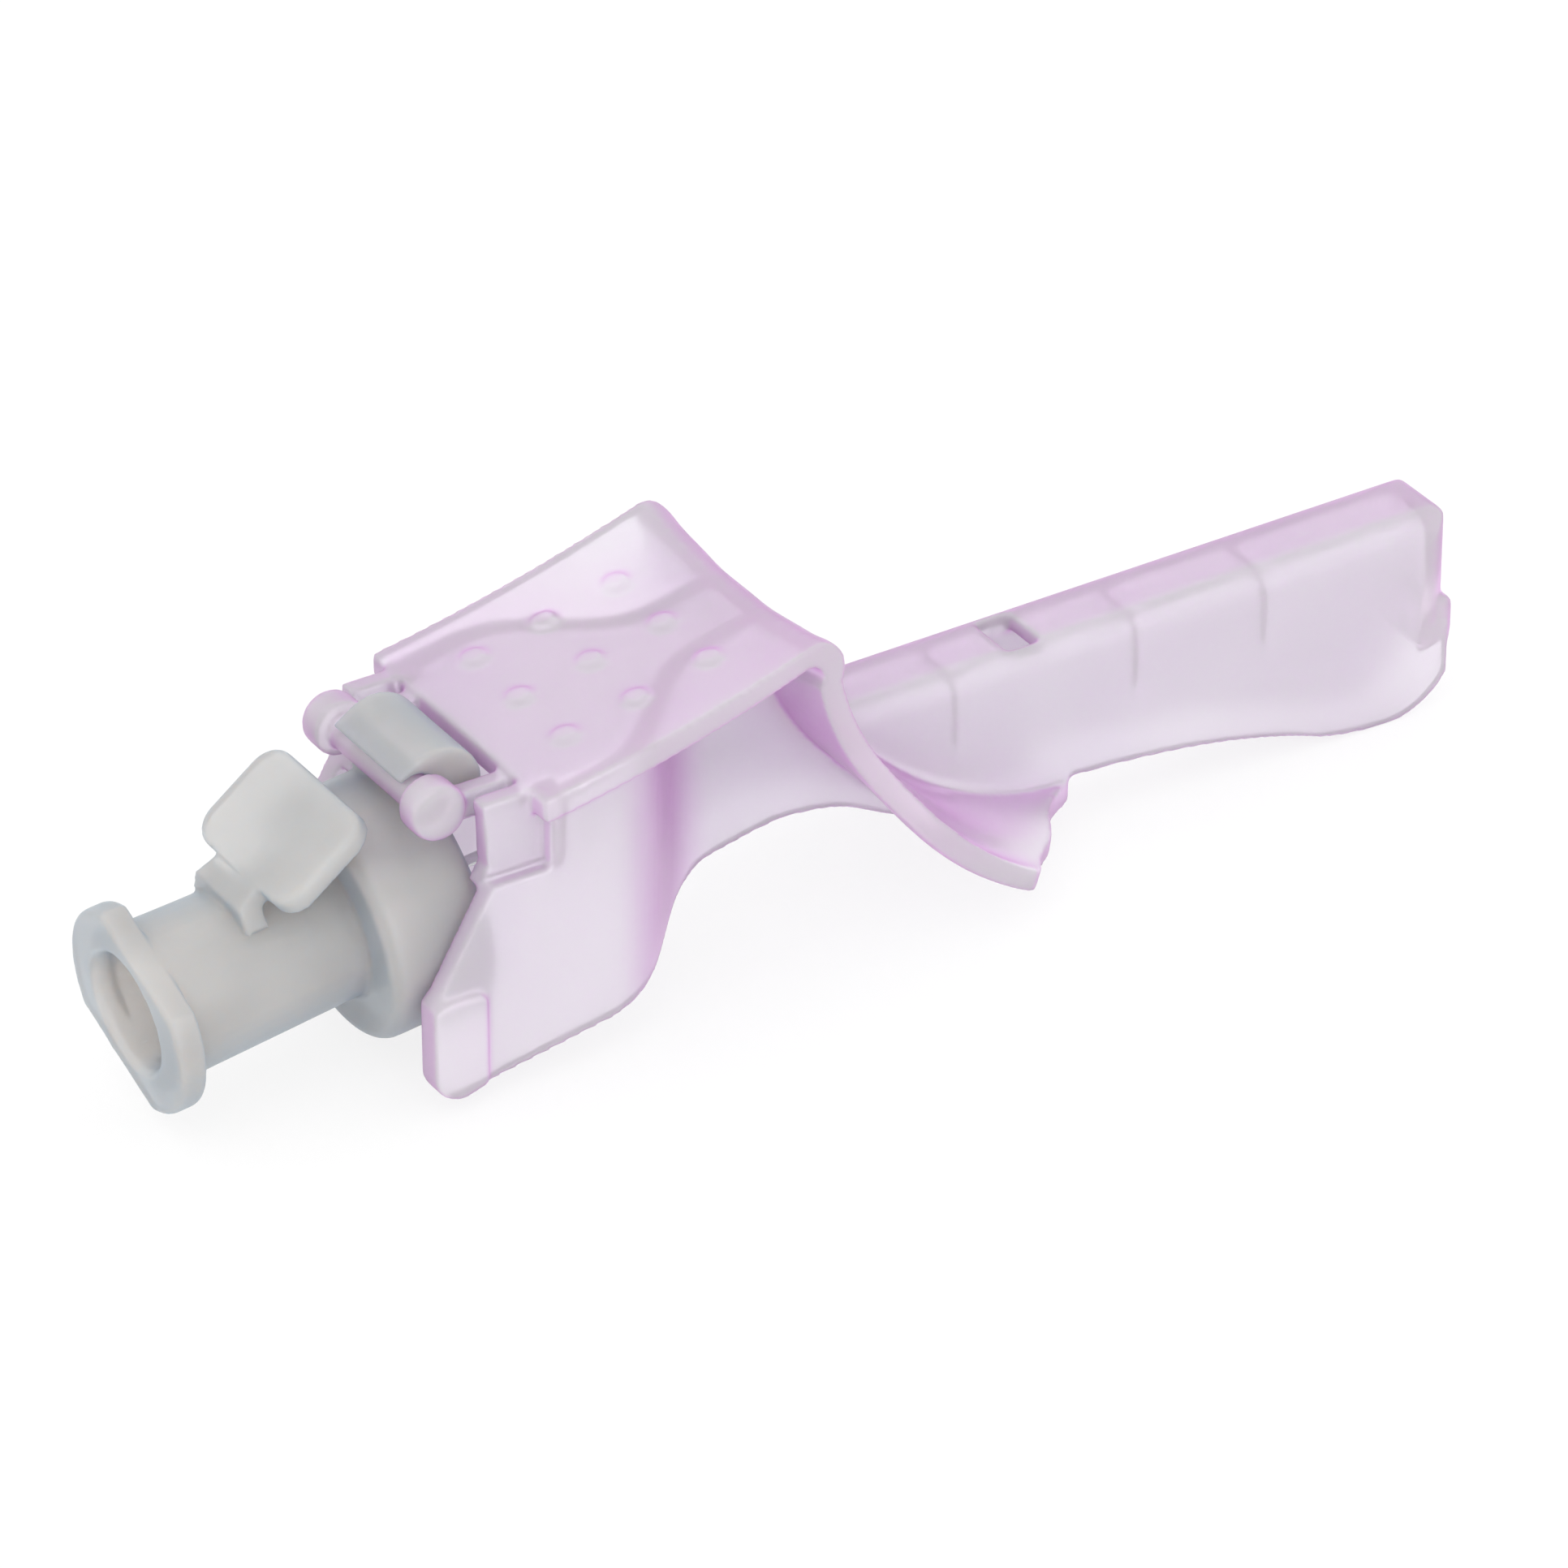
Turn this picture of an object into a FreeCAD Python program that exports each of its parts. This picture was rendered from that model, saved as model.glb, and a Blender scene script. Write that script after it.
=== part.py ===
import FreeCAD, Part
import math
import os

from FreeCAD import Vector

# Safety hypodermic needle, millimetres.
# Origin: centre of the luer mouth.  The shield lies level, as on a table, and
# the hub with its needle points up towards +X by hub_pitch.

# Luer socket and hub barrel, along the hub's own axis from the mouth
hub_pitch = 6.5
luer_mouth_d = 4.3
luer_taper = 0.06
luer_depth = 7.5
mouth_chamfer = 0.2
flange_across_lugs = 7.5
flange_across_flats = 5.85
flange_thick = 1.05
flange_turn = 26.7
barrel_mouth_d = 5.76
barrel_end_d = 5.36
chamber_d = 2.2
chamber_len = 1.6

# Collar that the skirts of the shield straddle, and the nose that holds the needle
collar_start = 8.0
collar_len = 3.9
collar_d = 8.9
collar_round = 0.55
nose_base_d = 4.6
nose_tip_d = 2.5
nose_end = 12.9
nose_rib_thick = 0.6

# Cannula, 27 gauge by half an inch, glued into the nose
cannula_od = 0.41
cannula_id = 0.21
cannula_free = 12.7
cannula_bevel = 13.0
cannula_gap = 0.015
well_d = 1.3
well_depth = 1.1
bead_rise = 0.25

# Thumb tab on the barrel: a cross web that narrows upwards, with a tilted plate on it
tab_web_x = 4.03
tab_web_thick = 0.87
tab_web_foot = 3.8
tab_web_top = 2.6
tab_low_x = 4.85
tab_low_z = 3.69
tab_length = 4.12
tab_width = 6.4
tab_thick = 0.75
tab_tilt = 30.8
tab_corner = 1.0

# Hinge: the shield hangs by a bar inside the hub's hook
hinge_x = 10.2
hinge_z = 6.45
bar_d = 1.3
bar_gap = 0.07
hook_width = 4.45
hook_from = -95.0
hook_to = 131.0
hook_foot = 0.6
crown_x = 11.1
crown_z = 6.2
crown_r = 1.67
knob_d = 2.1
knob_end_y = 3.95
knob_round = 0.35
ear_gap = 0.425
ear_thick = 0.8
ear_top = 6.72

# Finger pad of the shield: a dished ramp that turns down into two wings
plate_thick = 0.9
pad_half_width = 5.75
pad_rear_x = 13.1
pad_rear_z = 6.97
pad_front_x = 24.2
pad_front_z = 9.75
pad_bow = 0.25
pad_dish = 0.62
wing_corner = 0.6
bump_d = 1.15
bump_rise = 0.16
bump_flare = 1.2

# Skirts, neck and sheath
wall = 0.85
skirt_half_width = 5.4
skirt_bottom = -3.75
skirt_rear = 8.75
skirt_top = 6.9
skirt_top_x = 11.3
skirt_kink_x = 11.45
skirt_kink_z = 4.4
neck_start = 16.0
neck_end = 22.2
sheath_half_width = 1.8
sheath_wall = 0.7
roof_start = 26.2
sheath_top = 3.59
sheath_rise = 0.37
sheath_arch = 1.0
sheath_tip = 53.4
sheath_low = -4.33
deep_start = 37.0
deep_length = 16.4
tip_corner = 0.9
tip_round = 0.5
end_wall = 0.8
end_wall_low = -2.0
end_bead_d = 2.3
end_bead_proud = 0.5

# Lug and recess of each skirt, ribs and window of the sheath
lug_proud = 0.3
lug_length = 2.1
lug_top = 0.2
recess_front = 13.55
recess_low = 4.05
recess_floor_y = 4.75
corner_wall_y = 3.95
corner_wall_front = 14.35
corner_wall_low = 3.7
rib_places = (32.4, 40.0, 45.5)
rib_width = 0.5
rib_proud = 0.2
rib_low = 0.6
window_start = 34.7
window_length = 1.4
window_width = 2.1

os.makedirs("parts", exist_ok=True)

axis_x = Vector(1, 0, 0)
axis_y = Vector(0, 1, 0)
axis_z = Vector(0, 0, 1)
origin = Vector(0, 0, 0)

hook_inner_r = bar_d / 2 + bar_gap
ear_inner_y = hook_width / 2 + ear_gap
end_bead_z = end_wall_low + end_bead_d / 2


def flat(points):
    """Closed wire of straight edges through the given points."""
    return Part.makePolygon(list(points) + [points[0]])


def side(x, z, y=0.0):
    return Vector(x, y, z)


def slab(wire, half_width):
    """Solid of a side outline, as wide on both sides of the middle plane."""
    face = Part.Face(wire)
    face.translate(Vector(0, -half_width, 0))
    return face.extrude(Vector(0, 2 * half_width, 0))


def box(x0, x1, y0, y1, z0, z1):
    return Part.makeBox(x1 - x0, y1 - y0, z1 - z0, Vector(x0, y0, z0))


def both_sides(shape):
    """The shape and its mirror image across the middle plane."""
    return shape.fuse(shape.mirror(origin, axis_y))


def along_hub(shape):
    """Turn a shape modelled along its own axis up to the hub's pitch."""
    turned = shape.copy()
    turned.rotate(origin, axis_y, -hub_pitch)
    return turned


def hub_point(x, z):
    """Place of a world point in the hub's own axes."""
    a = math.radians(hub_pitch)
    return x * math.cos(a) + z * math.sin(a), z * math.cos(a) - x * math.sin(a)


def revolve(points):
    """Solid turned about the hub's axis from (x, radius) points."""
    face = Part.Face(flat([Vector(x, 0, r) for x, r in points]))
    return face.revolve(origin, axis_x, 360)


def one_solid(shape, name):
    """The shape cleaned of splitters, which has to be a single solid."""
    clean = shape.removeSplitter()
    if len(clean.Solids) != 1:
        raise ValueError("%s has %d solids" % (name, len(clean.Solids)))
    return clean.Solids[0]


def luer_radius(x):
    return luer_mouth_d / 2 - luer_taper / 2 * x


def make_flange():
    """Luer-lock flange: a disc with two flats, which leave two lugs."""
    disc = Part.makeCylinder(flange_across_lugs / 2, flange_thick, origin, axis_x)
    r = flange_across_lugs
    flats = box(-1, flange_thick + 1, -r, r, -flange_across_flats / 2, flange_across_flats / 2)
    flats.rotate(origin, axis_x, flange_turn)
    flange = disc.common(flats)
    rims = [e for e in flange.Edges if e.Length > 2]
    return flange.makeFillet(0.22, rims)


def make_tab():
    """Thumb tab: a cross web from the barrel and the tilted plate on it."""
    half = tab_width / 2
    plate = box(0, tab_length, -half, half, -tab_thick, 0)
    upright = [e for e in plate.Edges if abs(e.tangentAt(e.FirstParameter).z) > 0.9]
    plate = plate.makeFillet(tab_corner, upright)
    top_rim = [e for e in plate.Edges if abs(e.CenterOfMass.z) < 1e-6]
    plate = plate.makeFillet(tab_thick * 0.3, top_rim)
    plate.rotate(origin, axis_y, -tab_tilt)
    plate.translate(Vector(tab_low_x, 0, tab_low_z))
    slope = math.tan(math.radians(tab_tilt))
    foot = luer_radius(tab_web_x) + 0.3
    front = tab_web_x + tab_web_thick
    crest = tab_low_z + (tab_web_x - tab_low_x) * slope - 0.04
    inside = tab_low_x + 0.5
    web = slab(flat([side(tab_web_x, foot), side(tab_web_x, crest), side(inside, crest + (inside - tab_web_x) * slope),
                     side(inside, tab_low_z - 0.3), side(front, foot + 0.6), side(front, foot)]), tab_web_foot)
    waist = Part.Face(flat([Vector(0, -tab_web_foot / 2, foot), Vector(0, tab_web_foot / 2, foot),
                            Vector(0, tab_web_top / 2, tab_low_z), Vector(0, tab_web_top / 2, tab_low_z + 1),
                            Vector(0, -tab_web_top / 2, tab_low_z + 1), Vector(0, -tab_web_top / 2, tab_low_z)]))
    return plate.fuse(web.common(waist.extrude(axis_x * 10)))


def make_hook():
    """Hook over the hinge bar, on a foot that stands on the collar."""
    cx, cz = hub_point(hinge_x, hinge_z)

    def at(r, angle):
        a = math.radians(angle - hub_pitch)
        return side(cx + r * math.cos(a), cz + r * math.sin(a))

    mx, mz = hub_point(crown_x, crown_z)

    def crown(angle):
        a = math.radians(angle - hub_pitch)
        return side(mx + crown_r * math.cos(a), mz + crown_r * math.sin(a))

    mid = (hook_from + hook_to) / 2
    lip = at(hook_inner_r, hook_to)
    lip_top = at(hook_inner_r + 0.24, hook_to - 2)
    outer = Part.Arc(crown(0), crown(57), crown(114)).toShape()
    nose = Part.Arc(lip_top, at(hook_inner_r + 0.15, hook_to + 7), lip).toShape()
    inner = Part.Arc(lip, at(hook_inner_r, mid), at(hook_inner_r, hook_from)).toShape()
    bottom = at(hook_inner_r, hook_from)
    sunk = collar_d / 2 - 0.9
    foot = [bottom, side(bottom.x, sunk), side(collar_start + collar_len - 0.3, sunk - hook_foot), crown(0)]
    lines = [Part.makeLine(p, q) for p, q in zip(foot, foot[1:])]
    wire = Part.Wire([outer, Part.makeLine(crown(114), lip_top), nose, inner] + lines)
    return slab(wire, hook_width / 2)


def make_hub():
    collar_end = collar_start + collar_len
    cr = collar_d / 2
    body = revolve([
        (0, 0), (0, barrel_mouth_d / 2), (collar_start, barrel_end_d / 2),
        (collar_start, cr), (collar_end, cr), (collar_end, nose_base_d / 2),
        (nose_end, nose_tip_d / 2), (nose_end, 0)])
    rims = []
    for e in body.Edges:
        c = e.Curve
        if isinstance(c, Part.Circle) and abs(c.Radius - cr) < 1e-6:
            rims.append(e)
    body = body.makeFillet(collar_round, rims)
    hub = body.fuse([make_flange(), make_tab(), make_hook()])

    rib_reach = cr - collar_round
    rib = Part.Face(flat([side(collar_end - 0.2, 0), side(collar_end - 0.2, rib_reach),
                          side(collar_end, rib_reach), side(nose_end - 0.5, nose_tip_d / 2), side(nose_end - 0.5, 0)]))
    rib.translate(Vector(0, -nose_rib_thick / 2, 0))
    rib = rib.extrude(Vector(0, nose_rib_thick, 0))
    for turn in (90, 180, 270):
        one = rib.copy()
        one.rotate(origin, axis_x, turn)
        hub = hub.fuse(one)

    bore = revolve([(-1, 0), (-1, luer_mouth_d / 2 + mouth_chamfer + 1), (0, luer_mouth_d / 2 + mouth_chamfer),
                    (mouth_chamfer, luer_radius(mouth_chamfer)), (luer_depth, luer_radius(luer_depth)),
                    (luer_depth, chamber_d / 2), (luer_depth + chamber_len, chamber_d / 2 - 0.25),
                    (luer_depth + chamber_len + 0.6, cannula_od / 2 + cannula_gap),
                    (nose_end - well_depth, cannula_od / 2 + cannula_gap), (nose_end - well_depth, well_d / 2 - 0.2),
                    (nose_end, well_d / 2), (nose_end + 1, well_d / 2), (nose_end + 1, 0)])
    return along_hub(one_solid(hub.cut(bore), "hub"))


def make_cannula():
    """Steel tube with a lancet point whose bevel faces up."""
    start = luer_depth + 0.7
    tip = nose_end + cannula_free
    r = cannula_od / 2
    tube = Part.makeCylinder(r, tip - start, Vector(start, 0, 0), axis_x)
    tube = tube.cut(Part.makeCylinder(cannula_id / 2, tip - start + 2, Vector(start - 1, 0, 0), axis_x))
    reach = 2 * r / math.tan(math.radians(cannula_bevel))
    grind = Part.Face(flat([side(tip - reach, r), side(tip, -r), side(tip + 1, -r), side(tip + 1, r + 1),
                            side(tip - reach, r + 1)]))
    grind.translate(Vector(0, -2, 0))
    tube = tube.cut(grind.extrude(Vector(0, 4, 0)))
    for turn in (55, -55):
        steep = reach * 0.45
        side_grind = Part.Face(flat([side(tip - steep, r * 0.3), side(tip + 0.02, -r), side(tip + 1, -r),
                                     side(tip + 1, r + 1), side(tip - steep, r + 1)]))
        side_grind.translate(Vector(0, -2, 0))
        side_grind = side_grind.extrude(Vector(0, 4, 0))
        side_grind.rotate(origin, axis_x, turn)
        tube = tube.cut(side_grind)
    return along_hub(one_solid(tube, "cannula"))


def make_adhesive():
    """Bead of adhesive that fills the well round the cannula."""
    r = cannula_od / 2 + 0.005
    low = nose_end - well_depth + 0.01
    bead = revolve([(low, r), (low, well_d / 2 - 0.21), (nose_end, well_d / 2 - 0.01),
                    (nose_end + bead_rise * 0.6, well_d / 2 - 0.2), (nose_end + bead_rise, r + 0.08),
                    (nose_end + bead_rise, r)])
    return along_hub(one_solid(bead, "needle_adhesive"))


def pad_slope_point(share, drop):
    """Point on the bowed ramp, at a share of its length and lowered by drop."""
    x = pad_rear_x + (pad_front_x - pad_rear_x) * share
    z = pad_rear_z + (pad_front_z - pad_rear_z) * share - 4 * pad_bow * share * (1 - share)
    return side(x, z - drop)


def curve_through(points):
    c = Part.BSplineCurve()
    c.interpolate(points)
    return c


def lowered(points, distance):
    """Points moved square to the curve through them, towards the pad's underside."""
    c = curve_through(points)
    moved = []
    for p in points:
        t = c.tangent(c.parameter(p))[0]
        moved.append(p + Vector(t.z, 0, -t.x) * distance)
    return moved


# Places of the wing's upper face from the shoulder down, at the free outer edge
# and at the root inside the sheath's wall, and its front end by the way in from the edge
wing_outer = ((24.95, 7.9), (26.1, 4.9), (27.9, 2.35), (30.6, -0.65))
wing_root = ((24.85, 7.35), (26.1, 4.7), (28.0, 2.4), (31.0, -0.2))
wing_root_y = sheath_half_width - 0.1
wing_end = ((0.0, 33.8, -2.8), (1.15, 34.3, -2.2), (2.25, 35.0, -1.87), (3.15, 35.9, -1.88),
            (pad_half_width - wing_root_y, 37.0, -2.1))


def plate_outline(y, dish, wing):
    """Side outline of the pad, shoulder and wing plate at one distance from the middle."""
    rear, middle, front = (pad_slope_point(s, dish * s * s) for s in (0.0, 0.5, 1.0))
    front = pad_slope_point(0.985, dish)
    top = [side(x, z) for x, z in wing]
    low = lowered(top, plate_thick)
    corner = Vector((front.x + top[0].x) / 2 + 0.12, 0, (front.z + top[0].z) / 2 + 0.62)
    drop = Vector(0, 0, -plate_thick)
    low_front = front + Vector(-0.35, 0, -plate_thick)
    low_corner = Vector((low_front.x + low[0].x) / 2 + 0.2, 0, (low_front.z + low[0].z) / 2 + 0.3)
    edges = [
        Part.Arc(rear, middle, front).toShape(),
        Part.Arc(front, corner, top[0]).toShape(),
        curve_through(top).toShape(),
        Part.makeLine(top[-1], low[-1]),
        curve_through(low[::-1]).toShape(),
        Part.Arc(low[0], low_corner, low_front).toShape(),
        Part.Arc(low_front, middle + drop, rear + drop).toShape(),
        Part.makeLine(rear + drop, rear)]
    wire = Part.Wire(edges)
    wire.translate(Vector(0, y, 0))
    return wire


def make_plate():
    """Dished pad and its two wings: one plate, lofted across the width."""
    half = []
    for way_in, end_x, end_z in wing_end:
        y = pad_half_width - way_in
        share = way_in / (pad_half_width - wing_root_y)
        wing = [(a + (c - a) * share, b + (d - b) * share) for (a, b), (c, d) in zip(wing_outer, wing_root)]
        dish = pad_dish * (1 - (y / pad_half_width) ** 2)
        half.append((y, dish, wing + [(end_x, end_z)]))
    centre = (0.0, pad_dish, half[-1][2])
    rows = [(-y, d, w) for y, d, w in half] + [centre] + half[::-1]
    plate = Part.makeLoft([plate_outline(*row) for row in rows], True, False)
    corners = [e for e in plate.Edges
               if abs(abs(e.CenterOfMass.y) - pad_half_width) < 0.01 and e.CenterOfMass.x > 33 and e.Length < 1.2]
    return plate.makeFillet(wing_corner, corners)


def plan_outline(inset, rear, tip):
    """Top-view outline: wide skirts, then the neck drawn in to the sheath."""
    wide = skirt_half_width - inset
    slim = sheath_half_width - (inset and sheath_wall)
    mid = (neck_start + neck_end) / 2
    reach = (neck_end - neck_start) / 2

    def edge(sign):
        poles = [Vector(neck_start, sign * wide, 0), Vector(mid - reach * 0.1, sign * wide, 0),
                 Vector(mid + reach * 0.1, sign * slim, 0), Vector(neck_end, sign * slim, 0)]
        curve = Part.BezierCurve()
        curve.setPoles(poles if sign < 0 else poles[::-1])
        return curve.toShape()

    return Part.Wire([
        Part.makeLine(Vector(rear, -wide, 0), Vector(neck_start, -wide, 0)), edge(-1),
        Part.makeLine(Vector(neck_end, -slim, 0), Vector(tip, -slim, 0)),
        Part.makeLine(Vector(tip, -slim, 0), Vector(tip, slim, 0)),
        Part.makeLine(Vector(tip, slim, 0), Vector(neck_end, slim, 0)), edge(1),
        Part.makeLine(Vector(neck_start, wide, 0), Vector(rear, wide, 0)),
        Part.makeLine(Vector(rear, wide, 0), Vector(rear, -wide, 0))])


def plan_block(inset, rear, tip):
    face = Part.Face(plan_outline(inset, rear, tip))
    face.translate(Vector(0, 0, -20))
    return face.extrude(Vector(0, 0, 40))


def body_side_outline():
    """Side view of skirts, neck and sheath walls, below the pad."""
    lap = plate_thick * 0.7
    top_rear = pad_slope_point(0.02, lap)
    top_front = pad_slope_point(0.96, lap)
    shoulder = side(24.4, 8.0)
    # The sheath's underside is drawn out with the tip, in front of the wings
    stretch = (sheath_tip - deep_start) / deep_length
    bottom = [side(x, z) for x, z in (
        (15.9, -2.75), (18.2, -1.95), (20.2, -1.0), (21.7, -0.35), (23.0, -0.05), (24.5, 0.22), (26.2, 0.17),
        (27.7, -0.2), (29.4, -1.05), (32.6, -1.8), (deep_start, -2.05), (deep_start + 5.6 * stretch, -2.6),
        (deep_start + 10.8 * stretch, -3.95))]
    belly = curve_through(bottom).toShape()
    low_front = side(deep_start + 13.3 * stretch, sheath_low)
    chin = side(sheath_tip, -2.95)
    roof_rear = side(roof_start, sheath_top)
    brow = side(sheath_tip, roof_height(sheath_tip) - tip_round)
    brow_start = side(sheath_tip - tip_round, roof_height(sheath_tip - tip_round))
    k = tip_round * (1 - math.sqrt(0.5))
    skirt_toe = side(skirt_rear + 1.3, skirt_bottom)
    heel = side(skirt_rear, skirt_bottom + 0.9)
    edges = [
        Part.makeLine(skirt_toe, bottom[0]),
        belly,
        Part.Arc(bottom[-1], side(deep_start + 12.0 * stretch, sheath_low + 0.11), low_front).toShape(),
        Part.Arc(low_front, side(sheath_tip - 0.95, sheath_low + 0.43), chin).toShape(),
        Part.makeLine(chin, brow),
        Part.Arc(brow, side(sheath_tip - k, brow_start.z - k), brow_start).toShape(),
        Part.makeLine(brow_start, roof_rear),
        Part.makeLine(roof_rear, shoulder),
        Part.makeLine(shoulder, top_front),
        Part.Arc(top_front, pad_slope_point(0.49, lap), top_rear).toShape(),
        Part.makeLine(top_rear, side(top_rear.x, skirt_top)),
        Part.makeLine(side(top_rear.x, skirt_top), side(skirt_top_x, skirt_top)),
        Part.makeLine(side(skirt_top_x, skirt_top), side(skirt_kink_x, skirt_kink_z)),
        Part.makeLine(side(skirt_kink_x, skirt_kink_z), side(skirt_rear + 0.4, lug_top + 0.25)),
        Part.makeLine(side(skirt_rear + 0.4, lug_top + 0.25), side(skirt_rear, lug_top - 0.2)),
        Part.makeLine(side(skirt_rear, lug_top - 0.2), heel),
        Part.Arc(heel, side(skirt_rear + 0.35, skirt_bottom + 0.25), skirt_toe).toShape()]
    return Part.Wire(edges)


def roof_height(x):
    return sheath_top + (x - roof_start) * math.tan(math.radians(sheath_rise))


def arch_section(x, half_width, top, arch):
    """Cross-section of the sheath: straight walls under a rounded roof."""
    low = -20.0
    k = arch * (1 - math.sqrt(0.5))
    a = Vector(x, -half_width, low)
    b = Vector(x, -half_width, top - arch)
    c = Vector(x, -half_width + arch, top)
    d = Vector(x, half_width - arch, top)
    e = Vector(x, half_width, top - arch)
    f = Vector(x, half_width, low)
    return Part.Wire([
        Part.makeLine(a, b), Part.Arc(b, Vector(x, -half_width + k, top - k), c).toShape(),
        Part.makeLine(c, d), Part.Arc(d, Vector(x, half_width - k, top - k), e).toShape(),
        Part.makeLine(e, f), Part.makeLine(f, a)])


def arch_block(start, end, inset):
    """Arched block from start to end, shrunk by inset on walls and roof."""
    ring = arch_section(start, sheath_half_width - inset, sheath_top - inset, sheath_arch - inset)
    block = Part.Face(ring).extrude(axis_x * (end - start))
    block.rotate(side(roof_start, sheath_top), axis_y, -sheath_rise)
    return block


def end_plan(reach):
    """Tall block whose top view is the sheath's rounded end."""
    half = sheath_half_width
    block = box(reach - 4, reach, -half, half, -20, 20)
    upright = [e for e in block.Edges
               if abs(e.CenterOfMass.x - reach) < 1e-6 and abs(e.tangentAt(e.FirstParameter).z) > 0.9]
    return block.makeFillet(tip_corner, upright)


def make_shell():
    """Skirts, neck and sheath, solid inside, under the plate."""
    split = 26.5
    body = slab(body_side_outline(), 10)
    wide = body.common(plan_block(0.0, 0.0, split)).common(box(0, split, -10, 10, -20, 20))
    slim = body.common(arch_block(split - 1.2, sheath_tip + 1, 0.0))
    outside = box(sheath_tip - 3, sheath_tip + 2, -4, 4, end_bead_z, 9).cut(end_plan(sheath_tip))
    return wide.fuse(slim.cut(outside))


def make_channel():
    """Space inside the sheath, open below."""
    return arch_block(neck_end + 2.3, sheath_tip - end_wall, sheath_wall)


def make_bar_and_ears():
    """Hinge bar with a knob at each end, and the ears that carry them."""
    reach = ear_inner_y + 0.2
    bar = Part.makeCylinder(bar_d / 2, 2 * reach, side(hinge_x, hinge_z, -reach), axis_y)
    knob = Part.makeCylinder(knob_d / 2, knob_end_y - ear_inner_y, side(hinge_x, hinge_z, ear_inner_y), axis_y)
    knob = knob.makeFillet(knob_round, [e for e in knob.Edges if abs(e.CenterOfMass.y - knob_end_y) < 1e-6])
    low = hinge_z - knob_d / 2 + 0.25
    web = Part.Face(flat([side(hinge_x, low), side(pad_rear_x - 0.1, low), side(pad_rear_x + 0.8, ear_top - 0.35),
                          side(pad_rear_x + 0.8, ear_top), side(hinge_x, ear_top)]))
    web.translate(Vector(0, ear_inner_y, 0))
    return bar.fuse(both_sides(knob.fuse(web.extrude(Vector(0, ear_thick, 0)))))


def make_bumps():
    """Low round bumps on the pad, in a three by three pattern."""
    r = bump_d / 2
    sunk = plate_thick * 0.4
    up = Vector(pad_rear_z - pad_front_z, 0, pad_front_x - pad_rear_x).normalize()
    bumps = []
    for share in (0.22, 0.475, 0.735):
        for across in (-0.52, 0.0, 0.52):
            dish = pad_dish * (1 - across * across) * share * share
            top = pad_slope_point(share, dish) + axis_y * (across * pad_half_width)
            bumps.append(Part.makeCone(r + sunk * bump_flare, r - bump_rise * bump_flare, sunk + bump_rise,
                                       top - up * sunk, up))
    return bumps


def make_end_bead():
    """Round bead across the sheath's end wall, above its open foot."""
    width = sheath_half_width - 0.05
    reach = sheath_tip + end_bead_proud
    bead = Part.makeCylinder(end_bead_d / 2, 2 * width, side(reach - end_bead_d / 2, end_bead_z, -width), axis_y)
    return bead.common(end_plan(reach)).common(box(sheath_tip - end_wall - 0.1, reach + 1, -9, 9, -9, 9))


def make_lug():
    """Raised lug on the outside of the skirt's lower rear corner."""
    toe = side(skirt_rear + 1.3, skirt_bottom)
    points = Part.Wire([
        Part.makeLine(side(skirt_rear, skirt_bottom + 0.9), side(skirt_rear, lug_top - 0.2)),
        Part.makeLine(side(skirt_rear, lug_top - 0.2), side(skirt_rear + 0.4, lug_top)),
        Part.makeLine(side(skirt_rear + 0.4, lug_top), side(skirt_rear + lug_length - 0.5, lug_top)),
        Part.Arc(side(skirt_rear + lug_length - 0.5, lug_top), side(skirt_rear + lug_length - 0.15, lug_top - 0.15),
                 side(skirt_rear + lug_length, lug_top - 0.5)).toShape(),
        Part.makeLine(side(skirt_rear + lug_length, lug_top - 0.5), side(skirt_rear + lug_length, skirt_bottom + 0.25)),
        Part.makeLine(side(skirt_rear + lug_length, skirt_bottom + 0.25), toe),
        Part.Arc(toe, side(skirt_rear + 0.35, skirt_bottom + 0.25), side(skirt_rear, skirt_bottom + 0.9)).toShape()])
    face = Part.Face(points)
    face.translate(Vector(0, skirt_half_width - 0.2, 0))
    return face.extrude(Vector(0, lug_proud + 0.2, 0))


def make_ribs():
    """Shallow ribs that run over the inside of the sheath's roof."""
    ribs = []
    for x in rib_places:
        outer = arch_block(x, x + rib_width, sheath_wall - 0.1)
        inner = arch_block(x - 0.1, x + rib_width + 0.1, sheath_wall + rib_proud)
        ribs.append(outer.cut(inner).common(box(0, 90, -9, 9, rib_low, 9)))
    return ribs


def make_corner_walls():
    """Wall at the floor of the recess in each skirt's upper rear corner."""
    body = slab(body_side_outline(), 10)
    return both_sides(body.common(box(skirt_rear, corner_wall_front, corner_wall_y, recess_floor_y,
                                      corner_wall_low, pad_front_z)))


def make_shield():
    channel = make_channel()
    inner = sheath_half_width - sheath_wall
    recess = box(skirt_rear, recess_front, recess_floor_y - 0.05, 9, recess_low, pad_front_z)
    foot = box(sheath_tip - end_wall - 0.3, sheath_tip + 1, -inner, inner, -9, end_bead_z)
    hollow = [plan_block(wall, -1.0, roof_start + 0.35), channel, foot, both_sides(recess)]
    walls = make_shell().cut(hollow)
    shell = walls.fuse(make_plate().cut(channel))
    adds = [make_bar_and_ears(), make_corner_walls(), make_end_bead(), both_sides(make_lug())]
    shield = shell.fuse(adds + make_ribs() + make_bumps())
    window = box(window_start, window_start + window_length, -window_width / 2, window_width / 2, sheath_top - 2, 9)
    return one_solid(shield.cut(window), "shield")


solids = {
    "hub": make_hub(),
    "cannula": make_cannula(),
    "needle_adhesive": make_adhesive(),
    "shield": make_shield(),
}
for name, shape in solids.items():
    shape.exportStep("parts/%s.step" % name)
    b = shape.BoundBox
    print(name, "valid", shape.isValid(), "volume %.1f" % shape.Volume,
          "x %.2f..%.2f y %.2f..%.2f z %.2f..%.2f" % (b.XMin, b.XMax, b.YMin, b.YMax, b.ZMin, b.ZMax))
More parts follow.
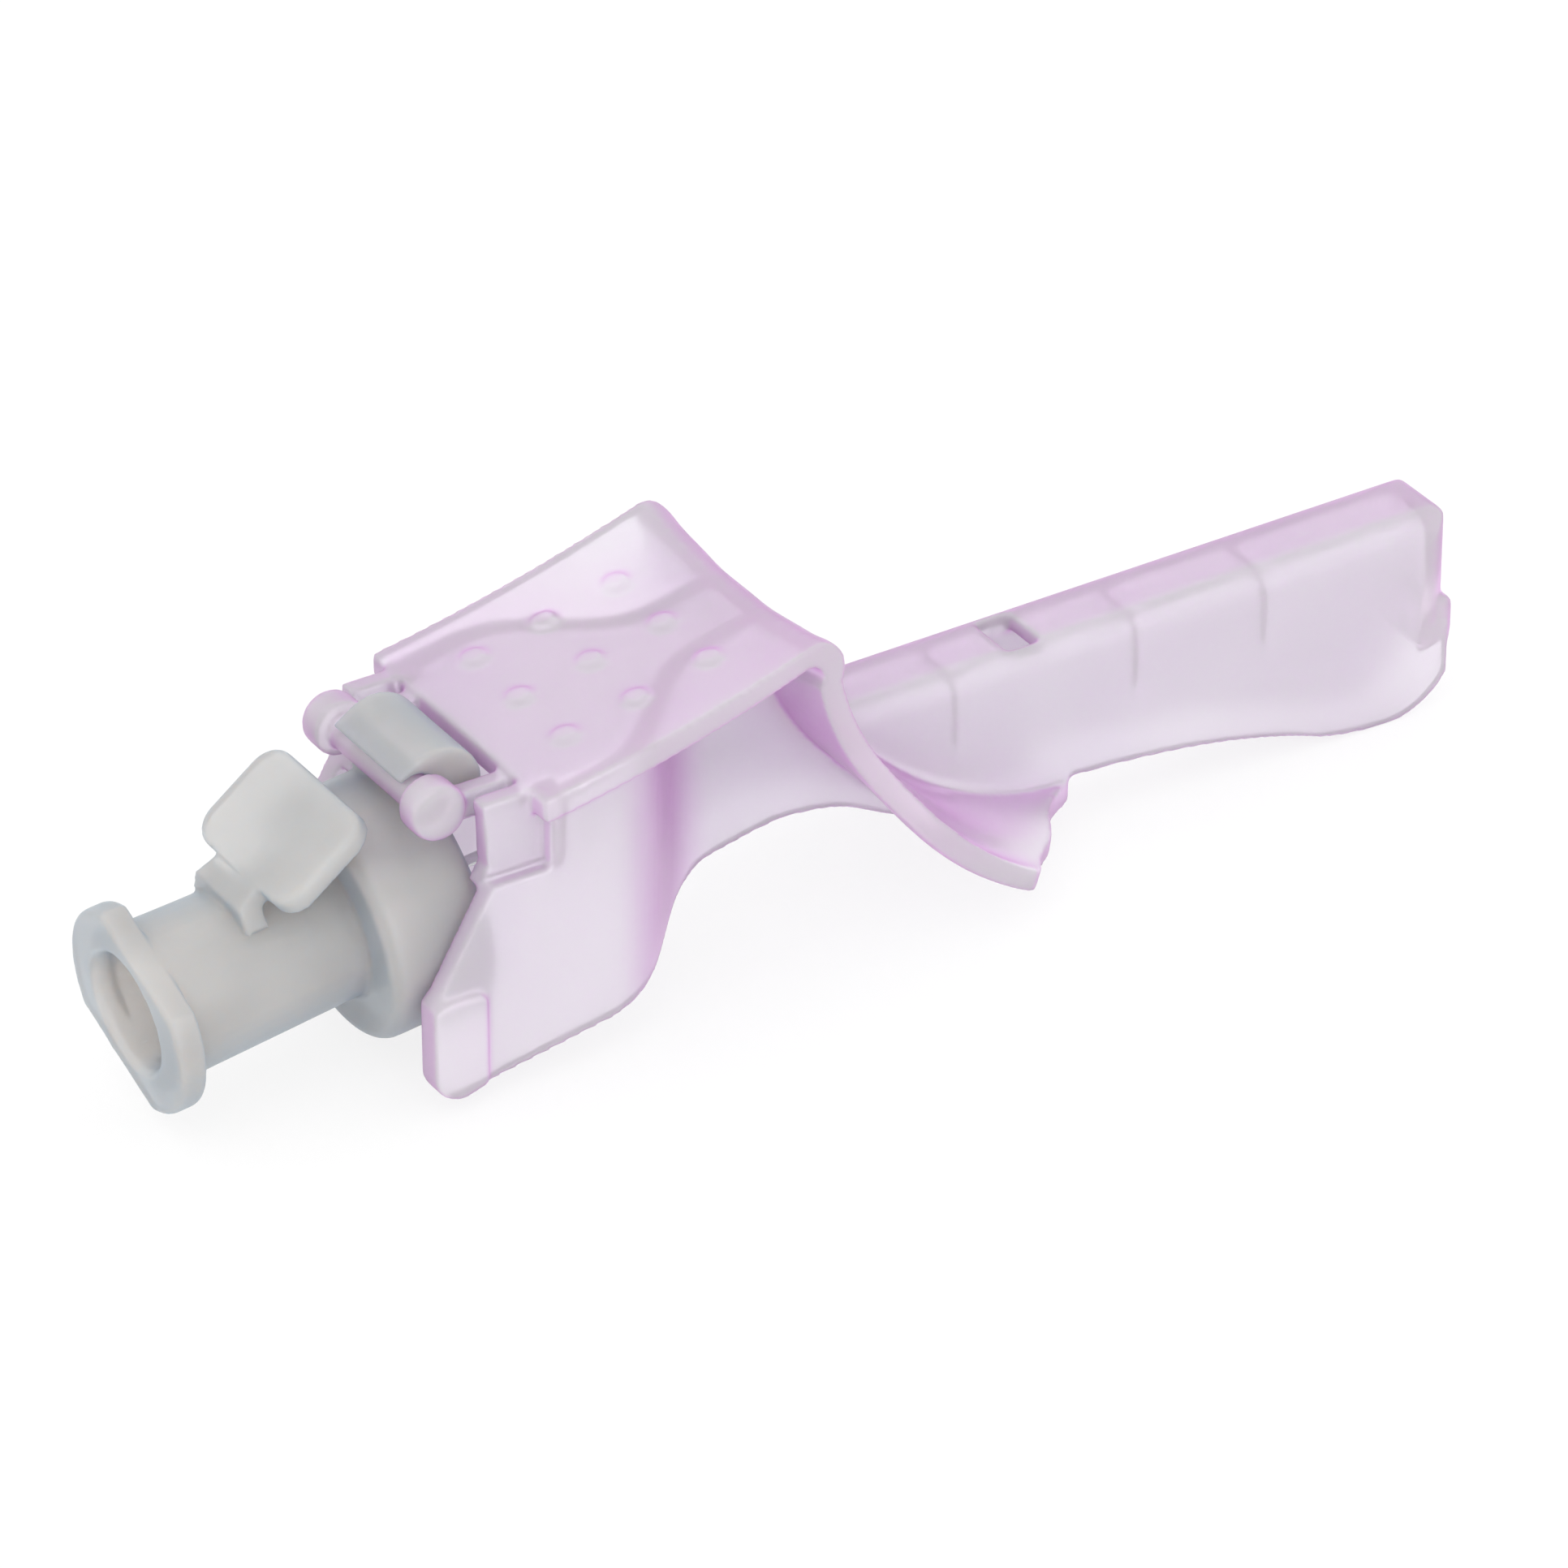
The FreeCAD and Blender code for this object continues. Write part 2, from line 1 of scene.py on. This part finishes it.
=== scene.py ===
import math

import bpy
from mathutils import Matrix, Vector


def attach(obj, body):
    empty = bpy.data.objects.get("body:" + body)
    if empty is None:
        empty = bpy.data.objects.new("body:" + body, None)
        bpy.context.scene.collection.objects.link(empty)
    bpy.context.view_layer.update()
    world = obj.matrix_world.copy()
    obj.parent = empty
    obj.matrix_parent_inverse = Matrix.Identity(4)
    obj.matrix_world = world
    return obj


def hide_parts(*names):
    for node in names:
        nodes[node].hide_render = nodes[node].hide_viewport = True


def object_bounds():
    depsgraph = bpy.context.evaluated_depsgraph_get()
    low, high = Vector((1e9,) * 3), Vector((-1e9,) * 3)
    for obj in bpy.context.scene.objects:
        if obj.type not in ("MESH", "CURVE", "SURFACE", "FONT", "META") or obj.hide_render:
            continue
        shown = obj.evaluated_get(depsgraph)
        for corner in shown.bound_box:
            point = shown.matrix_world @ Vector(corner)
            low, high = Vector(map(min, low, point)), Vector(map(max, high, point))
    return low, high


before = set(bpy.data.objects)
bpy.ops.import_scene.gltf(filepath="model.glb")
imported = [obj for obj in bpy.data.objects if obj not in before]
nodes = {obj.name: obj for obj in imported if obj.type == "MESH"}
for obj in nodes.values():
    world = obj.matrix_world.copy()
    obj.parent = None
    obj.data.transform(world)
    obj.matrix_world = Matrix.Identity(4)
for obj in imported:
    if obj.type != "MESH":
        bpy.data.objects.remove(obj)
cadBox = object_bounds()
mm = 0.001  # the frame is in metres
print("stage: frame loaded,", len(nodes), "nodes")


def toLinear(hexColour):
    # sRGB hex to the linear colour that a shader takes
    channels = [int(hexColour[i:i + 2], 16) / 255 for i in (1, 3, 5)]
    return [c / 12.92 if c <= 0.04045 else ((c + 0.055) / 1.055) ** 2.4 for c in channels] + [1.0]


def addNode(tree, kind, settings=None, inputs=None, links=None):
    # one shader node: its settings, its socket values, and what feeds its sockets
    node = tree.nodes.new(kind)
    for key, value in (settings or {}).items():
        setattr(node, key, value)
    for key, value in (inputs or {}).items():
        node.inputs[key].default_value = value
    for key, source in (links or {}).items():
        tree.links.new(source, node.inputs[key])
    return node


def newMaterial(name):
    material = bpy.data.materials.new(name)
    material.use_nodes = True
    material.node_tree.nodes.clear()
    return material, material.node_tree


def setStops(ramp, stops):
    # colour ramp stops as (place, colour)
    band = ramp.color_ramp
    while len(band.elements) > 1:
        band.elements.remove(band.elements[-1])
    band.elements[0].position = stops[0][0]
    band.elements[0].color = stops[0][1]
    for place, colour in stops[1:]:
        band.elements.new(place).color = colour


def deselectAll():
    if bpy.context.object and bpy.context.object.mode != "OBJECT":
        bpy.ops.object.mode_set(mode="OBJECT")
    bpy.ops.object.select_all(action="DESELECT")


def dress(obj, material):
    obj.data.materials.clear()
    obj.data.materials.append(material)


# injection-moulded polypropylene, milky and tinted: light passes a wall softly and
# gathers in the thick edges, and the satin mould gives a broad, quiet highlight
shieldLook = {
    "colour": "#F8F5FE",
    "flowColour": "#F4F0FC",
    # painted light: a pinker rim tint for the light gathered where the wall is seen edge-on
    "paintedRimTint": "#ECBEF0",
    "absorb": "#F07CE4",
    "absorbPerMm": 0.1,
    "clearness": 0.6,
    "milkiness": 0.9,
    "scatterMm": 0.9,
    "scatterReach": (1.0, 0.92, 1.0),
    "roughness": 0.35,
    "ior": 1.49,
    "flowMm": 7.0,
    "satinMm": 0.12,
    "satinDepthMm": 0.004,
}

# the same plastic with a grey pigment: wax-like, a warm grey face on, with a painted bluish
# reflection along its rims, and a little light comes through the thin walls
hubLook = {
    "colour": "#DDDCDB",
    "flowColour": "#D3D3D3",
    # painted light: a bluish rim tint for the cool reflection along the rims
    "paintedRimTint": "#BCC8D2",
    "absorb": "#B9B6B3",
    "absorbPerMm": 0.06,
    "clearness": 0.5,
    "milkiness": 1.0,
    "scatterMm": 1.5,
    "scatterReach": (1.25, 1.0, 0.85),
    "roughness": 0.36,
    "ior": 1.49,
    "flowMm": 4.0,
    "satinMm": 0.10,
    "satinDepthMm": 0.004,
}

# what the moulding leaves in both plastics: faint cloudy bands where the melt flowed,
# and the satin of the mould
mouldedSkin = {
    "flowDetail": 3.0,
    "flowFineness": 0.45,
    "flowSwirl": 0.6,
    "tintRange": (0.35, 0.7),
    "glossRange": (0.3, 0.7),
    "glossSpread": 0.05,
    "slantRange": (0.3, 0.8),
    "satinDetail": 2.0,
    "satinStrength": 0.35,
}


def makeMouldedPlastic(name, look):
    material, tree = newMaterial(name)
    place = addNode(tree, "ShaderNodeTexCoord").outputs["Object"]
    flow = addNode(tree, "ShaderNodeTexNoise",
                   inputs={"Scale": 1 / (look["flowMm"] * mm), "Detail": mouldedSkin["flowDetail"],
                           "Roughness": mouldedSkin["flowFineness"], "Distortion": mouldedSkin["flowSwirl"]},
                   links={"Vector": place})
    tint = addNode(tree, "ShaderNodeValToRGB", links={"Fac": flow.outputs["Fac"]})
    tintFrom, tintTo = mouldedSkin["tintRange"]
    setStops(tint, [(tintFrom, toLinear(look["colour"])), (tintTo, toLinear(look["flowColour"]))])
    # painted light: seen aslant, the colour turns towards a rim tint that stands in for light run further
    # through the skin and for reflection along the rims
    facing = addNode(tree, "ShaderNodeLayerWeight", inputs={"Blend": 0.5})
    slantFrom, slantTo = mouldedSkin["slantRange"]
    slant = addNode(tree, "ShaderNodeMapRange", inputs={"From Min": slantFrom, "From Max": slantTo},
                    links={"Value": facing.outputs["Facing"]})
    skinWithPaintedRims = addNode(tree, "ShaderNodeMixRGB", inputs={"Color2": toLinear(look["paintedRimTint"])},
                         links={"Fac": slant.outputs["Result"], "Color1": tint.outputs["Color"]})
    glossFrom, glossTo = mouldedSkin["glossRange"]
    gloss = addNode(tree, "ShaderNodeMapRange",
                    inputs={"From Min": glossFrom, "From Max": glossTo,
                            "To Min": look["roughness"] - mouldedSkin["glossSpread"],
                            "To Max": look["roughness"] + mouldedSkin["glossSpread"]},
                    links={"Value": flow.outputs["Fac"]})
    satin = addNode(tree, "ShaderNodeTexNoise",
                    inputs={"Scale": 1 / (look["satinMm"] * mm), "Detail": mouldedSkin["satinDetail"]},
                    links={"Vector": place})
    skin = addNode(tree, "ShaderNodeBump",
                   inputs={"Strength": mouldedSkin["satinStrength"], "Distance": look["satinDepthMm"] * mm},
                   links={"Height": satin.outputs["Fac"]})
    surface = addNode(tree, "ShaderNodeBsdfPrincipled",
                      inputs={"IOR": look["ior"], "Transmission Weight": look["clearness"],
                              "Subsurface Weight": look["milkiness"],
                              "Subsurface Radius": look["scatterReach"],
                              "Subsurface Scale": look["scatterMm"] * mm},
                      links={"Base Color": skinWithPaintedRims.outputs["Color"], "Roughness": gloss.outputs["Result"],
                             "Normal": skin.outputs["Normal"]})
    body = addNode(tree, "ShaderNodeVolumeAbsorption",
                   inputs={"Color": toLinear(look["absorb"]), "Density": look["absorbPerMm"] / mm})
    addNode(tree, "ShaderNodeOutputMaterial",
            links={"Surface": surface.outputs["BSDF"], "Volume": body.outputs["Volume"]})
    return material


# drawn stainless tube: bright metal with faint lines along the draw
steelLook = {
    "colour": "#C9CBCC",
    "roughness": 0.22,
    "smoother": 0.06,
    "rougher": 0.08,
    "lineMm": 0.05,
    "lineStretch": 50,  # times as long as they are wide
    "lineDepthMm": 0.001,
    "lineStrength": 0.3,
    "detail": 2.0,
}


def makeDrawnSteel(name, look):
    material, tree = newMaterial(name)
    place = addNode(tree, "ShaderNodeTexCoord").outputs["Object"]
    along = addNode(tree, "ShaderNodeMapping", inputs={"Scale": (1 / look["lineStretch"], 1.0, 1.0)},
                    links={"Vector": place})
    lines = addNode(tree, "ShaderNodeTexNoise",
                    inputs={"Scale": 1 / (look["lineMm"] * mm), "Detail": look["detail"]},
                    links={"Vector": along.outputs["Vector"]})
    gloss = addNode(tree, "ShaderNodeMapRange",
                    inputs={"To Min": look["roughness"] - look["smoother"],
                            "To Max": look["roughness"] + look["rougher"]},
                    links={"Value": lines.outputs["Fac"]})
    skin = addNode(tree, "ShaderNodeBump",
                   inputs={"Strength": look["lineStrength"], "Distance": look["lineDepthMm"] * mm},
                   links={"Height": lines.outputs["Fac"]})
    surface = addNode(tree, "ShaderNodeBsdfPrincipled",
                      inputs={"Base Color": toLinear(look["colour"]), "Metallic": 1.0},
                      links={"Roughness": gloss.outputs["Result"], "Normal": skin.outputs["Normal"]})
    addNode(tree, "ShaderNodeOutputMaterial", links={"Surface": surface.outputs["BSDF"]})
    return material


# cured epoxy: a clear, slightly amber drop with a glassy skin
epoxyLook = {
    "colour": "#E6DFC8",
    "clearness": 0.7,
    "roughness": 0.08,
    "rougher": 0.08,
    "ior": 1.55,
    "swirlMm": 0.5,
    "detail": 2.0,
}


def makeEpoxy(name, look):
    material, tree = newMaterial(name)
    place = addNode(tree, "ShaderNodeTexCoord").outputs["Object"]
    swirl = addNode(tree, "ShaderNodeTexNoise",
                    inputs={"Scale": 1 / (look["swirlMm"] * mm), "Detail": look["detail"]},
                    links={"Vector": place})
    gloss = addNode(tree, "ShaderNodeMapRange",
                    inputs={"To Min": look["roughness"], "To Max": look["roughness"] + look["rougher"]},
                    links={"Value": swirl.outputs["Fac"]})
    surface = addNode(tree, "ShaderNodeBsdfPrincipled",
                      inputs={"Base Color": toLinear(look["colour"]), "IOR": look["ior"],
                              "Transmission Weight": look["clearness"]},
                      links={"Roughness": gloss.outputs["Result"]})
    addNode(tree, "ShaderNodeOutputMaterial", links={"Surface": surface.outputs["BSDF"]})
    return material


# the two mouldings stand in for their CAD solids, with the small round edges of a mould
shieldMoulding = {
    "name": "shieldMoulding",
    "node": "shield",
    "body": "shield_body",
    "slot": "shield_plastic",
    "plastic": "lilac polypropylene",
    "look": shieldLook,
    "weldMm": 0.0005,
    "gridMm": 0.11,
    "polishFactor": 0.5,
    "polishTurns": 8,
    "thinnedTo": 0.45,
}
hubMoulding = {
    "name": "hubMoulding",
    "node": "hub",
    "body": "needle_body",
    "slot": "hub_plastic",
    "plastic": "grey polypropylene",
    "look": hubLook,
    "weldMm": 0.0005,
    "gridMm": 0.09,
    "polishFactor": 0.5,
    "polishTurns": 8,
    "thinnedTo": 0.6,
}


def makeMoulding(values):
    # a copy of the solid, merged, then remeshed on a fine grid and polished, which rounds its edges
    deselectAll()
    solid = nodes[values["node"]]
    piece = bpy.data.objects.new(values["name"], solid.data.copy())
    bpy.context.scene.collection.objects.link(piece)
    piece.select_set(True)
    bpy.context.view_layer.objects.active = piece
    bpy.ops.object.mode_set(mode="EDIT")
    bpy.ops.mesh.select_all(action="SELECT")
    bpy.ops.mesh.remove_doubles(threshold=values["weldMm"] * mm)
    bpy.ops.object.mode_set(mode="OBJECT")
    grid = piece.modifiers.new("mouldGrid", "REMESH")
    grid.mode = "VOXEL"
    grid.voxel_size = values["gridMm"] * mm
    polish = piece.modifiers.new("polish", "SMOOTH")
    polish.factor = values["polishFactor"]
    polish.iterations = values["polishTurns"]
    thin = piece.modifiers.new("thin", "DECIMATE")
    thin.ratio = values["thinnedTo"]
    for modifier in (grid.name, polish.name, thin.name):
        bpy.ops.object.modifier_apply(modifier=modifier)
    bpy.ops.object.shade_smooth()
    dress(piece, makeMouldedPlastic(values["plastic"], values["look"]))
    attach(piece, values["body"])
    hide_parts(values["node"])
    print("stage:", values["name"], "has", len(piece.data.polygons), "faces")


makeMoulding(shieldMoulding)
makeMoulding(hubMoulding)
dress(nodes["cannula"], makeDrawnSteel("drawn stainless steel", steelLook))
dress(nodes["needle_adhesive"], makeEpoxy("cured epoxy", epoxyLook))
print("stage: materials on")

# studio: a pale table, a white surround and soft lamps
studio = {
    "tableColour": "#FFFFFF",
    "tableSizeM": 3.0,
    "tableGlow": 0.8,  # share of plain white seen in the table, so that it meets the surround
    "surroundLight": 1.15,
    "keyWatts": 0.35,
    "keySizeM": 0.35,
    "keyPlaceM": (-0.28, -0.22, 0.50),
    "fillWatts": 0.5,
    "fillSizeM": 0.4,
    "fillPlaceM": (-0.10, -0.60, 0.08),
}


def addSeenGlow(tree):
    # 1 on rays from the camera, mirrors and glass, so that all of them see a white table
    path = addNode(tree, "ShaderNodeLightPath")
    seen = addNode(tree, "ShaderNodeMath", {"operation": "MAXIMUM"},
                   links={0: path.outputs["Is Camera Ray"], 1: path.outputs["Is Glossy Ray"]})
    return addNode(tree, "ShaderNodeMath", {"operation": "MAXIMUM"},
                   links={0: seen.outputs[0], 1: path.outputs["Is Transmission Ray"]}).outputs[0]


def makeStudio(values):
    deselectAll()
    bpy.ops.mesh.primitive_plane_add(size=values["tableSizeM"], location=(0, 0, cadBox[0][2]))
    table = bpy.context.object
    table.name = "table"
    material, tree = newMaterial("pale table")
    paint = addNode(tree, "ShaderNodeBsdfDiffuse", inputs={"Color": toLinear(values["tableColour"])})
    glow = addNode(tree, "ShaderNodeEmission", inputs={"Color": (1, 1, 1, 1), "Strength": 1.0})
    share = addNode(tree, "ShaderNodeMath", {"operation": "MULTIPLY"}, {1: values["tableGlow"]},
                    {0: addSeenGlow(tree)})
    mix = addNode(tree, "ShaderNodeMixShader",
                  links={"Fac": share.outputs[0], 1: paint.outputs["BSDF"], 2: glow.outputs["Emission"]})
    addNode(tree, "ShaderNodeOutputMaterial", links={"Surface": mix.outputs["Shader"]})
    dress(table, material)

    world = bpy.data.worlds.new("surround")
    bpy.context.scene.world = world
    world.use_nodes = True
    tree = world.node_tree
    tree.nodes.clear()
    strength = addNode(tree, "ShaderNodeMapRange",
                       inputs={"To Min": values["surroundLight"], "To Max": 1.0},
                       links={"Value": addNode(tree, "ShaderNodeLightPath").outputs["Is Camera Ray"]})
    back = addNode(tree, "ShaderNodeBackground", inputs={"Color": (1, 1, 1, 1)},
                   links={"Strength": strength.outputs["Result"]})
    addNode(tree, "ShaderNodeOutputWorld", links={"Surface": back.outputs["Background"]})

    middle = (Vector(cadBox[0]) + Vector(cadBox[1])) / 2
    for name in ("key", "fill"):
        spot = Vector(values[name + "PlaceM"])
        bpy.ops.object.light_add(type="AREA", location=spot)
        lamp = bpy.context.object
        lamp.name = name + "Lamp"
        lamp.data.size = values[name + "SizeM"]
        lamp.data.energy = values[name + "Watts"]
        lamp.rotation_euler = (middle - spot).to_track_quat("-Z", "Y").to_euler()


makeStudio(studio)
print("stage: table and lamps")

# the photograph's viewpoint, found from the ellipse of the luer mouth
viewpoint = {
    "azimuth": -32.4,
    "elevation": 31.85,
    "imagePixels": 1932,
    "focalPixels": 12000,
    "mouthPixel": (154.5, 1249.0),  # where the mouth's centre, the frame's origin, is seen
    "pixelsPerMm": 36.7,
    "sensorMm": 36.0,
    "nearestM": 0.01,
}


def placeCamera(values):
    turn = math.radians(values["azimuth"])
    rise = math.radians(values["elevation"])
    away = Vector((math.sin(turn) * math.cos(rise), -math.cos(turn) * math.cos(rise), math.sin(rise)))
    right = Vector((math.cos(turn), math.sin(turn), 0))
    up = away.cross(right)
    centre = values["imagePixels"] / 2
    across = (centre - values["mouthPixel"][0]) / values["pixelsPerMm"]
    down = (values["mouthPixel"][1] - centre) / values["pixelsPerMm"]
    distance = values["focalPixels"] / values["pixelsPerMm"]
    spot = (away * distance + right * across + up * down) * mm
    bpy.ops.object.camera_add(location=spot, rotation=away.to_track_quat("Z", "Y").to_euler())
    camera = bpy.context.object
    camera.data.sensor_width = values["sensorMm"]
    camera.data.lens = values["focalPixels"] / values["imagePixels"] * values["sensorMm"]
    camera.data.clip_start = values["nearestM"]
    bpy.context.scene.camera = camera


placeCamera(viewpoint)
bpy.context.scene.view_settings.view_transform = "Standard"
print("stage: camera")
